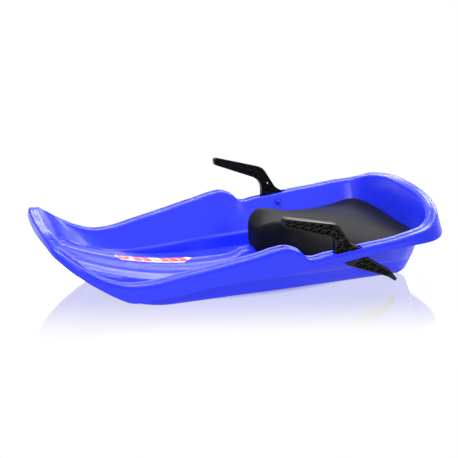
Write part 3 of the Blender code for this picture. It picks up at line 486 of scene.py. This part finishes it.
def section(distance, column):
    """The points of the tub's inner face at one place round it, from the runner to the skirt's edge."""
    rim, chine = Vector(RIM.at(distance)), Vector(CHINE.at(distance))
    runner = Vector((*RUNNER.at(distance), 0.0))
    runner.z = floor_height(runner.x, column)
    aside = Vector((chine.x - runner.x, chine.y - runner.y, 0.0))
    width = aside.length
    aside.normalize()
    out = outward(distance)
    reach_in, reach_out, tilt, groove = BAND.at(distance)
    drop, flare = DRAPE.at(distance)
    lip = rim - out * reach_in - Vector((0, 0, LIP_DROP + tilt))

    # Where the ridge runs into the nose's wall, the wall starts from the ridge's top.
    lift = max(0.0, floor_height(chine.x, column) - chine.z)
    chine = chine.lerp(lip, lift / (lip.z - chine.z))

    corner = runner + aside * min(RUNNER_CORNER, CORNER_WIDTH_SHARE * width)
    fade = ease((chine.x - LEDGE_END) / LEDGE_FADE)
    ledge = chine - aside * min(CHINE_LEDGE, LEDGE_WIDTH_SHARE * width) - Vector((0, 0, CHINE_LEDGE_DROP))
    plain = chine.lerp(corner, FADED_LEDGE_PLACE)
    ledge = plain.lerp(ledge, fade)
    rise = ledge - corner
    corner_end = corner + rise * min(CORNER_RISE_SHARE, RUNNER_CORNER / rise.length)
    corner_mid = (runner + 2 * corner + corner_end) / 4
    points = [runner, corner_mid, corner_end, ledge, chine, chine.lerp(lip, 0.5), lip]

    for i, (share, height) in enumerate(RIM_SECTION):
        reach = reach_in if share < 0 else reach_out
        height += tilt * share - (groove if i == GROOVE_POINT else 0.0)
        points.append(rim + out * reach * share + Vector((0, 0, height)))
    top = rim + out * reach_out + Vector((0, 0, tilt - SKIRT_SHOULDER))
    edge = rim + out * (reach_out + flare) - Vector((0, 0, drop))
    return points + [top, top.lerp(edge, 0.5), edge]


def distance_where(value, axis, low, high):
    """The distance between two others at which the runner's line reaches a value, by halving."""
    rising = RUNNER.at(high)[axis] > RUNNER.at(low)[axis]
    for _ in range(HALVINGS):
        middle = (low + high) / 2
        if (RUNNER.at(middle)[axis] < value) == rising:
            low = middle
        else:
            high = middle
    return (low + high) / 2


def half_samples():
    """(distance, column) of each ring point round the left half, from the nose's middle to the tail's."""
    front, rear, end = distance_at(FRONT_CORNER), distance_at(REAR_CORNER), distance_at(TAIL_STATION)
    columns = spread(FLOOR_COLUMNS, FINE_STEPS)[1:-1]
    nose = [(0.0, 0.0)]
    for column in columns:
        y = RUNNER.at(front)[1] * column / RUNNER_OUTER_FLAT
        nose.append((distance_where(y, 1, 0.0, front), column))
    sides = [(distance_at(station), RUNNER_OUTER_FLAT) for station in spread(ROWS_AT, FINE_STEPS)]
    tail = []
    for column in reversed(columns):
        y = RUNNER.at(rear)[1] * column / RUNNER_OUTER_FLAT
        tail.append((distance_where(y, 1, rear, end), column))
    return nose + sides + tail + [(end, 0.0)]


def turned_corners(points):
    """A section with a short curve in place of each of its corners."""
    fine = [points[0]]
    for i in range(1, len(points) - 1):
        before, here, after = points[i - 1:i + 2]
        reach = TURN_REACH.get(i, FREE_REACH)
        start = here + (before - here) * min(SOFT_TURN, reach / (before - here).length)
        end = here + (after - here) * min(SOFT_TURN, reach / (after - here).length)
        for k in range(TURN_POINTS):
            t = k / (TURN_POINTS - 1)
            fine.append(start * (1 - t) ** 2 + here * 2 * t * (1 - t) + end * t * t)
    return fine + [points[-1]]


def floor_rows(rings):
    """The floor's grid of points, row by row from the nose. Its border is the lowest ring."""
    across = spread(FLOOR_COLUMNS, FINE_STEPS)
    columns = len(across) - 1
    rows_count = (len(ROWS_AT) - 1) * FINE_STEPS + 1
    count = len(rings)
    corner, last = columns, columns + rows_count - 1
    nose = [rings[i % count][0] for i in range(corner, -corner - 1, -1)]
    tail = [rings[i][0] for i in range(last, last + 2 * columns + 1)]
    rows = [nose]
    for row in range(1, rows_count - 1):
        left, right = rings[corner + row][0], rings[-(corner + row)][0]
        front_fade = max(0.0, 1 - (nose[0].x - left.x) / NOSE_BOW_LENGTH) ** 2
        rear_fade = max(0.0, 1 - (left.x - tail[0].x) / TAIL_BOW_LENGTH) ** 2
        line = [left]
        for i in range(1, 2 * columns):
            offset = columns - i
            column = across[abs(offset)]
            y = left.y * column / RUNNER_OUTER_FLAT * (1 if offset > 0 else -1)
            x = left.x + (nose[i].x - nose[0].x) * front_fade + (tail[i].x - tail[0].x) * rear_fade
            line.append(Vector((x, y, floor_height(x, column))))
        rows.append(line + [right])
    return rows + [tail]


def tub_surface():
    """(rings, rows) of the tub's inner face. Each ring point holds its section's points."""
    left = [turned_corners(section(distance, column)) for distance, column in half_samples()]
    flip = Vector((1, -1, 1))
    right = [[point * flip for point in points] for points in left[-2:0:-1]]
    rings = left + right
    return rings, floor_rows(rings)


def add_grid(bm, rows):
    """Faces between neighbouring rows of vertices."""
    for above, below in zip(rows, rows[1:]):
        for corners in zip(above, above[1:], below[1:], below):
            bm.faces.new(corners)


def add_tub(bm, rings, rows, depth):
    """Faces of the floor and of the rings up to `depth` points of each section."""
    bands = [[bm.verts.new(points[level]) for points in rings] for level in range(depth)]
    columns = len(rows[0]) // 2
    count = len(rings)
    last = columns + len(rows) - 1
    grid = [[bands[0][i % count] for i in range(columns, -columns - 1, -1)]]
    for row in range(1, len(rows) - 1):
        inner = [bm.verts.new(point) for point in rows[row][1:-1]]
        grid.append([bands[0][columns + row], *inner, bands[0][-(columns + row)]])
    grid.append([bands[0][i] for i in range(last, last + 2 * columns + 1)])
    add_grid(bm, grid)
    add_grid(bm, [band + band[:1] for band in bands])
    bmesh.ops.recalc_face_normals(bm, faces=bm.faces)
    if grid[1][columns].normal.z < 0:
        bmesh.ops.reverse_faces(bm, faces=bm.faces)
    return bands


def mesh_from(bm, name, closed=True):
    """The finished mesh. A closed one has its faces turned outward; an open one keeps the way they face."""
    if closed:
        bmesh.ops.recalc_face_normals(bm, faces=bm.faces)
    mesh = bpy.data.meshes.new(name)
    bm.to_mesh(mesh)
    bm.free()
    return mesh


def add_object(name, mesh, look=None):
    """A piece of the looks where it has a material, or else a cutter."""
    obj = bpy.data.objects.new(name, mesh)
    if look:
        mesh.materials.append(look)
        parts.objects.link(obj)
    else:
        cutters.objects.link(obj)
    return obj


def boolean(obj, cutter, operation="DIFFERENCE"):
    modifier = obj.modifiers.new(operation.lower() + "_" + cutter.name, "BOOLEAN")
    modifier.operation = operation
    modifier.object = cutter
    modifier.solver = "EXACT"


def settle(obj, sharp):
    """Turns the modifiers' result into the piece's own mesh, shaded smooth up to an angle between faces."""
    graph = bpy.context.evaluated_depsgraph_get()
    made = bpy.data.meshes.new_from_object(obj.evaluated_get(graph))
    obj.modifiers.clear()
    obj.data = made
    made.shade_smooth()
    made.set_sharp_from_angle(angle=radians(sharp))
    return obj


def add_prism(bm, outline, low, high, matrix=Matrix()):
    """A straight prism on an outline in the XY plane, from z low to z high."""
    base = [bm.verts.new(matrix @ Vector((x, y, low))) for x, y in outline]
    top = [bm.verts.new(matrix @ Vector((x, y, high))) for x, y in outline]
    bm.faces.new(base[::-1])
    bm.faces.new(top)
    for a, b, c, d in zip(base, base[1:] + base[:1], top[1:] + top[:1], top):
        bm.faces.new((a, b, c, d))


def circle(radius, centre=(0.0, 0.0), steps=ROUND_POINTS):
    """Points round a circle in plan."""
    return [
        (centre[0] + radius * cos(2 * pi * i / steps), centre[1] + radius * sin(2 * pi * i / steps))
        for i in range(steps)
    ]


def pivot_matrix(side):
    """The lever's plane: its X runs forward, its Y up and outward, its Z along the pivot."""
    place = Matrix.Translation((PIVOT[0], side * PIVOT[1], PIVOT[2]))
    return place @ Matrix.Rotation(pi / 2 - side * LEVER_LEAN, 4, "X")


def axle_matrix(side):
    """On the pivot, with Z along its axis towards the middle of the tub."""
    place = Matrix.Translation((PIVOT[0], side * PIVOT[1], PIVOT[2]))
    return place @ Matrix.Rotation(side * (pi / 2 - LEVER_LEAN), 4, "X")


def make_hull(look, rings, rows):
    """The tub's surface with its wall, the levers' slots, the rope holes and the bosses for the pivots."""
    bm = bmesh.new()
    add_tub(bm, rings, rows, len(rings[0]))
    hull = add_object("moulded_hull", mesh_from(bm, "moulded_hull", False), look)
    shell = hull.modifiers.new("moulded wall", "SOLIDIFY")
    shell.thickness = WALL
    shell.offset = -1.0
    shell.use_even_offset = True

    bm = bmesh.new()
    half = LEVER_THICKNESS / 2 + SLOT_SIDE_CLEARANCE
    front = NECK_FRONT + GAP
    slot = ((-SLOT_REAR, SLOT_FOOT), (front, SLOT_FOOT), (front, SLOT_TOP), (-SLOT_REAR, SLOT_TOP))
    for side in (1, -1):
        add_prism(bm, slot, -half, half, pivot_matrix(side))
        for station, radius in ROPE_HOLES:
            x, y, z = RIM.at(distance_at(station))
            add_prism(bm, circle(radius, (x, side * y)), z - ROPE_HOLE_REACH, z + ROPE_HOLE_REACH)
    boolean(hull, add_object("hull_openings", mesh_from(bm, "hull_openings")))

    bm = bmesh.new()
    boss_face = LEVER_THICKNESS / 2 + THRUST_WASHER_THICKNESS + 2 * GAP
    for side in (1, -1):
        add_prism(bm, circle(BOSS_RADIUS), boss_face, BOSS_SEAT, axle_matrix(side))
    boolean(hull, add_object("pivot_bosses", mesh_from(bm, "pivot_bosses")), "UNION")
    return settle(hull, HULL_SHARP)


def make_seat(look, rings, rows):
    """The saddle: a smoothed cage, cut to the tub's lining and remeshed so that its edges turn."""
    bm = bmesh.new()
    loops = []
    for x, base_y, base_z, edge_y, edge_z, shoulder_y, shoulder_z, middle_z in SEAT_SECTIONS:
        half = [(base_y, base_z), (edge_y, edge_z), (shoulder_y, shoulder_z)]
        loop = [(0.0, base_z), *half, (0.0, middle_z), *[(-y, z) for y, z in reversed(half)]]
        loops.append([bm.verts.new((x, y, z)) for y, z in loop])
    add_grid(bm, [loop + loop[:1] for loop in loops])
    for loop in (loops[0], loops[-1]):
        base, middle = loop[0], loop[CROWN]
        for a, b, c in (loop[1:CROWN], loop[:CROWN:-1]):
            bm.faces.new((base, a, b))
            bm.faces.new((base, b, c, middle))
    crease = bm.edges.layers.float.new("crease_edge")
    for a, b in zip(loops[0], loops[0][1:] + loops[0][:1]):
        bm.edges.get((a, b))[crease] = FRONT_CREASE
    for i, line in product(POMMEL_LOOPS, SHOULDER_LINES):
        bm.edges.get((loops[i][line], loops[i + 1][line]))[crease] = POMMEL_CREASE
    seat = add_object("moulded_seat", mesh_from(bm, "moulded_seat"), look)
    smooth = seat.modifiers.new("soft form", "SUBSURF")
    smooth.levels = SEAT_SMOOTHING
    smooth.render_levels = SEAT_SMOOTHING

    bm = bmesh.new()
    bands = add_tub(bm, rings, rows, LINING_DEPTH)
    bm.normal_update()
    inside = [(vert, vert.co + vert.normal * SEAT_GAP) for vert in bm.verts]
    for vert, place in inside:
        vert.co = place
    lid = bm.verts.new((0.0, 0.0, LID_HEIGHT))
    top = bands[-1]
    for a, b in zip(top, top[1:] + top[:1]):
        bm.faces.new((a, b, lid))
    boolean(seat, add_object("tub_lining", mesh_from(bm, "tub_lining")), "INTERSECT")
    remesh = seat.modifiers.new("even skin", "REMESH")
    remesh.mode = "VOXEL"
    remesh.voxel_size = SKIN_VOXEL
    rounding = seat.modifiers.new("turned edges", "SMOOTH")
    rounding.factor = SKIN_ROUNDING
    rounding.iterations = SKIN_ROUNDS
    return settle(seat, SEAT_SHARP)


def make_lever(side, look):
    """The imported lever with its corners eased, as a mould leaves them."""
    name = ("left" if side > 0 else "right") + "_brake_lever"
    node = frame["nodes"][name]
    bm = bmesh.new()
    bm.from_mesh(node.data)
    bm.transform(node.matrix_world)
    bmesh.ops.remove_doubles(bm, verts=bm.verts, dist=LEVER_WELD)
    bmesh.ops.dissolve_limit(bm, angle_limit=LEVER_FLAT, verts=bm.verts, edges=bm.edges)
    lever = add_object("moulded_" + name, mesh_from(bm, "moulded_" + name), look)
    eased = lever.modifiers.new("eased corners", "BEVEL")
    eased.width = LEVER_EASING
    eased.segments = LEVER_EASING_STEPS
    eased.limit_method = "ANGLE"
    eased.angle_limit = LEVER_CORNER
    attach(settle(lever, LEVER_SHARP), name.replace("_lever", ""))
    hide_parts(name)


def bars(places, length, width):
    """Outlines of slanted bars in plan."""
    ends = ((-1, -1), (1, -1), (1, 1), (-1, 1))
    return [
        [Vector((x + i * length / 2 + j * BAR_SLANT / 2, j * width / 2)) for i, j in ends]
        for x in places
    ]


def ovals(places):
    """Outlines of ovals in plan."""
    spots = circle(1.0, steps=OVAL_POINTS)
    return [
        [Vector((x + length / 2 * a, y + width / 2 * b)) for a, b in spots]
        for x, y, length, width in places
    ]


def make_film(name, look, outlines, lift):
    """Thin film that follows the ridge's top: each outline filled with rings round its middle."""
    bm = bmesh.new()
    for corners in outlines:
        pairs = list(zip(corners, corners[1:] + corners[:1]))
        outline = [a.lerp(b, k / FILM_STEPS) for a, b in pairs for k in range(FILM_STEPS)]
        middle = sum(corners, Vector((0.0, 0.0))) / len(corners)
        bands = []
        for share in FILM_RINGS:
            places = [middle.lerp(spot, share) for spot in outline]
            bands.append([bm.verts.new((p.x, p.y, floor_height(p.x, abs(p.y)) + lift)) for p in places])
        add_grid(bm, [band + band[:1] for band in bands])
        bm.faces.new(bands[-1])
    bmesh.ops.recalc_face_normals(bm, faces=bm.faces)
    film = add_object(name, mesh_from(bm, name, False), look)
    body = film.modifiers.new("film", "SOLIDIFY")
    body.thickness = FILM
    body.offset = 0.0
    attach(settle(film, FILM_SHARP), "sled")


def linear(code):
    """A material's base colour from its sRGB hex code."""
    shades = [int(code[i:i + 2], 16) / 255 for i in (1, 3, 5)]
    return (*[s / 12.92 if s <= 0.04045 else ((s + 0.055) / 1.055) ** 2.4 for s in shades], 1.0)


def add_node(tree, kind, values=(), **settings):
    """A shader node with its settings and, by socket, its values and links."""
    node = tree.nodes.new("ShaderNode" + kind)
    for key, value in settings.items():
        setattr(node, key, value)
    for key, value in dict(values).items():
        if isinstance(value, bpy.types.NodeSocket):
            tree.links.new(value, node.inputs[key])
        else:
            node.inputs[key].default_value = value
    return node


def faded(tree, value, span, ends):
    """A socket that goes smoothly from one end to the other while a value crosses a span."""
    node = add_node(tree, "MapRange", {"Value": value, "From Min": span[0], "From Max": span[1],
                                       "To Min": ends[0], "To Max": ends[1]}, interpolation_type="SMOOTHSTEP")
    return node.outputs["Result"]


def surface(name, code, roughness, grain, relief, **values):
    """A material with a fine relief, its grain given in metres, and gloss that varies a little over it."""
    made = bpy.data.materials.new(name)
    made.use_nodes = True
    tree = made.node_tree
    shader = tree.nodes["Principled BSDF"]
    shader.inputs["Base Color"].default_value = linear(code)
    for key, value in values.items():
        shader.inputs[key.replace("_", " ")].default_value = value
    place = add_node(tree, "TexCoord").outputs["Object"]
    noise = add_node(tree, "TexNoise", {"Vector": place, "Scale": 1 / grain, "Detail": 2.0})
    bump = add_node(tree, "Bump", {"Height": noise.outputs["Fac"], "Distance": relief, "Strength": 1.0})
    tree.links.new(bump.outputs["Normal"], shader.inputs["Normal"])
    slow = add_node(tree, "TexNoise", {"Vector": place, "Scale": GLOSS_PATCHES, "Detail": 1.0})
    gloss = add_node(tree, "MapRange", {"Value": slow.outputs["Fac"], "To Min": roughness - GLOSS_WEAR,
                                        "To Max": roughness + GLOSS_WEAR})
    tree.links.new(gloss.outputs["Result"], shader.inputs["Roughness"])
    return made


def make_floor():
    """White ground with a little of the sled's shadow and a mirror image that fades out all round it."""
    bm = bmesh.new()
    bmesh.ops.create_grid(bm, x_segments=1, y_segments=1, size=FLOOR_HALF)
    look = bpy.data.materials.new("studio floor")
    look.use_nodes = True
    floor = add_object("studio_floor", mesh_from(bm, "studio_floor", False), look)
    tree = look.node_tree
    shader = tree.nodes["Principled BSDF"]
    shader.inputs["Base Color"].default_value = linear("#f6f6fa")
    shader.inputs["Roughness"].default_value = FLOOR_ROUGHNESS
    place = add_node(tree, "TexCoord").outputs["Object"]

    # Plain white, but for the shadow.
    distance = add_node(tree, "VectorMath", {0: place}, operation="LENGTH").outputs["Value"]
    plain = faded(tree, distance, GLOW_FADE, (FLOOR_GLOW, 1.0))
    spot = add_node(tree, "VectorMath", {0: place, 1: (1 / UNDER_LENGTH, 1 / UNDER_WIDTH, 0.0),
                                         2: (-UNDER_MIDDLE / UNDER_LENGTH, 0.0, 0.0)},
                    operation="MULTIPLY_ADD")
    reach = add_node(tree, "VectorMath", {0: spot.outputs["Vector"]}, operation="LENGTH").outputs["Value"]
    under = faded(tree, reach, UNDER_FADE, (UNDER_GLOW, 1.0))
    glow = add_node(tree, "Math", {0: plain, 1: under}, operation="MINIMUM")
    white = add_node(tree, "Emission", {"Color": (1.0, 1.0, 1.0, 1.0), "Strength": 1.0})
    ground = add_node(tree, "MixShader", {0: glow.outputs["Value"], 1: shader.outputs["BSDF"],
                                          2: white.outputs["Emission"]})

    # Mirror image, by how far a place is from the sled to the sides or past its ends.
    mirror = add_node(tree, "BsdfGlossy", {"Color": (1.0, 1.0, 1.0, 1.0), "Roughness": MIRROR_ROUGHNESS})
    even = add_node(tree, "VectorMath", {0: place}, operation="ABSOLUTE")
    along = add_node(tree, "SeparateXYZ", {"Vector": even.outputs["Vector"]})
    past_end = add_node(tree, "Math", {0: along.outputs["X"], 1: MIRROR_HALF_LENGTH}, operation="SUBTRACT")
    across = add_node(tree, "VectorMath", {0: place, 1: MIRROR_AXIS}, operation="DOT_PRODUCT")
    aside = add_node(tree, "Math", {0: across.outputs["Value"]}, operation="ABSOLUTE")
    away = add_node(tree, "Math", {0: past_end.outputs["Value"], 1: aside.outputs["Value"]},
                    operation="MAXIMUM")
    share = faded(tree, away.outputs["Value"], MIRROR_FADE, (MIRROR_SHARE, 0.0))
    mix = add_node(tree, "MixShader", {0: share, 1: ground.outputs["Shader"], 2: mirror.outputs["BSDF"]})
    tree.links.new(mix.outputs["Shader"], tree.nodes["Material Output"].inputs["Surface"])


def make_room():
    """White room: plain white to the camera, darker near the horizon otherwise, and softer as light."""
    world = bpy.data.worlds.new("white room")
    bpy.context.scene.world = world
    world.use_nodes = True
    tree = world.node_tree
    background = tree.nodes["Background"]
    path = add_node(tree, "LightPath")
    glow = add_node(tree, "MapRange", {"Value": path.outputs["Is Glossy Ray"], "To Min": ROOM_LIGHT,
                                       "To Max": 1.0})
    toward = add_node(tree, "SeparateXYZ", {"Vector": add_node(tree, "TexCoord").outputs["Generated"]})
    height = faded(tree, toward.outputs["Z"], HORIZON_FADE, (HORIZON_LIGHT, 1.0))
    room = add_node(tree, "Math", {0: glow.outputs["Result"], 1: height}, operation="MULTIPLY")
    seen = add_node(tree, "Math", {0: path.outputs["Is Camera Ray"], 1: room.outputs["Value"]},
                    operation="MAXIMUM")
    background.inputs["Color"].default_value = (1.0, 1.0, 1.0, 1.0)
    tree.links.new(seen.outputs["Value"], background.inputs["Strength"])


def add_light(name, place, target, size, power):
    lamp = bpy.data.lights.new(name, "AREA")
    lamp.shape = "RECTANGLE"
    lamp.size, lamp.size_y = size
    lamp.energy = power
    light = bpy.data.objects.new(name, lamp)
    light.location = place
    light.rotation_euler = (Vector(target) - Vector(place)).to_track_quat("-Z", "Y").to_euler()
    parts.objects.link(light)


# Injection-moulded polyethylene: deep even colour, a soft gloss with a waxy depth.
blue = surface("blue polyethylene", "#2233f8", 0.26, 0.012, 0.00012, IOR=1.45, Subsurface_Weight=0.12,
               Subsurface_Radius=(0.0004, 0.0006, 0.003))
# Skinned foam: near black, with a dull satin skin and a fine grain.
foam = surface("charcoal foam", "#1a1a1c", 0.40, 0.0009, 0.00006, IOR=1.10)
# Glass-filled nylon: near black, finely eroded mould texture that breaks the highlights.
nylon = surface("black nylon", "#050506", 0.36, 0.0006, 0.00004, IOR=1.36)
# Rivets of polypropylene: black, a little glossier than the nylon.
cap = surface("black polypropylene", "#18181a", 0.35, 0.002, 0.00003)
# Zinc-plated steel: bright grey metal with a fine brushed haze.
steel = surface("zinc plated steel", "#c4c6ca", 0.3, 0.0008, 0.00002, Metallic=1.0)
# Baked blue lacquer on the pivot bolts and the washers under their heads: they hardly show against the wall.
lacquer = surface("blue lacquered steel", "#3a46f4", 0.22, 0.003, 0.00001, IOR=1.5)
# Printed vinyl film of the ridge's sticker: flat bright colours with a thin gloss.
white_film = surface("white vinyl film", "#f2f0ee", 0.3, 0.004, 0.00001)
red_film = surface("red vinyl film", "#d83a44", 0.3, 0.004, 0.00001)
gold_film = surface("gold vinyl film", "#e8b23c", 0.3, 0.004, 0.00001)

rings, rows = tub_surface()
hull = make_hull(blue, rings, rows)
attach(hull, "sled")
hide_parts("hull")

seat = make_seat(foam, rings, rows)
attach(seat, "sled")
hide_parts("seat_pad")

for side in (1, -1):
    make_lever(side, nylon)

make_film("sticker_ground", white_film, [[Vector(spot) for spot in PLATE]], PLATE_LIFT)
make_film("sticker_reds", red_film, ovals(RED_OVALS) + bars(RED_BARS_AT, *RED_BAR), RED_LIFT)
make_film("sticker_golds", gold_film, bars(GOLD_BARS_AT, *GOLD_BAR) + ovals(GOLD_OVALS), GOLD_LIFT)

# Finishes of the hardware that is shown as packed, by the last two words of a piece's name.
finishes = {"seat_rivet": cap, "pivot_bush": nylon, "pivot_bolt": lacquer, "bolt_washer": lacquer,
            "thrust_washer": steel, "lock_washer": steel, "lock_nut": steel}
for name, node in frame["nodes"].items():
    finish = finishes.get("_".join(name.split("_")[-2:]))
    if finish:
        node.data.materials.clear()
        node.data.materials.append(finish)

for cutter in list(cutters.objects):
    bpy.data.objects.remove(cutter)

make_floor()
make_room()
for light in LIGHTS:
    add_light(*light)

camera = bpy.data.objects.new("camera", bpy.data.cameras.new("camera"))
camera.location = CAMERA_PLACE
camera.rotation_mode = "QUATERNION"
camera.rotation_quaternion = (Vector(CAMERA_TARGET) - camera.location).to_track_quat("-Z", "Y")
camera.data.lens = CAMERA_LENS
camera.data.sensor_width = CAMERA_SENSOR
parts.objects.link(camera)
bpy.context.scene.camera = camera
bpy.context.scene.view_settings.view_transform = "Standard"
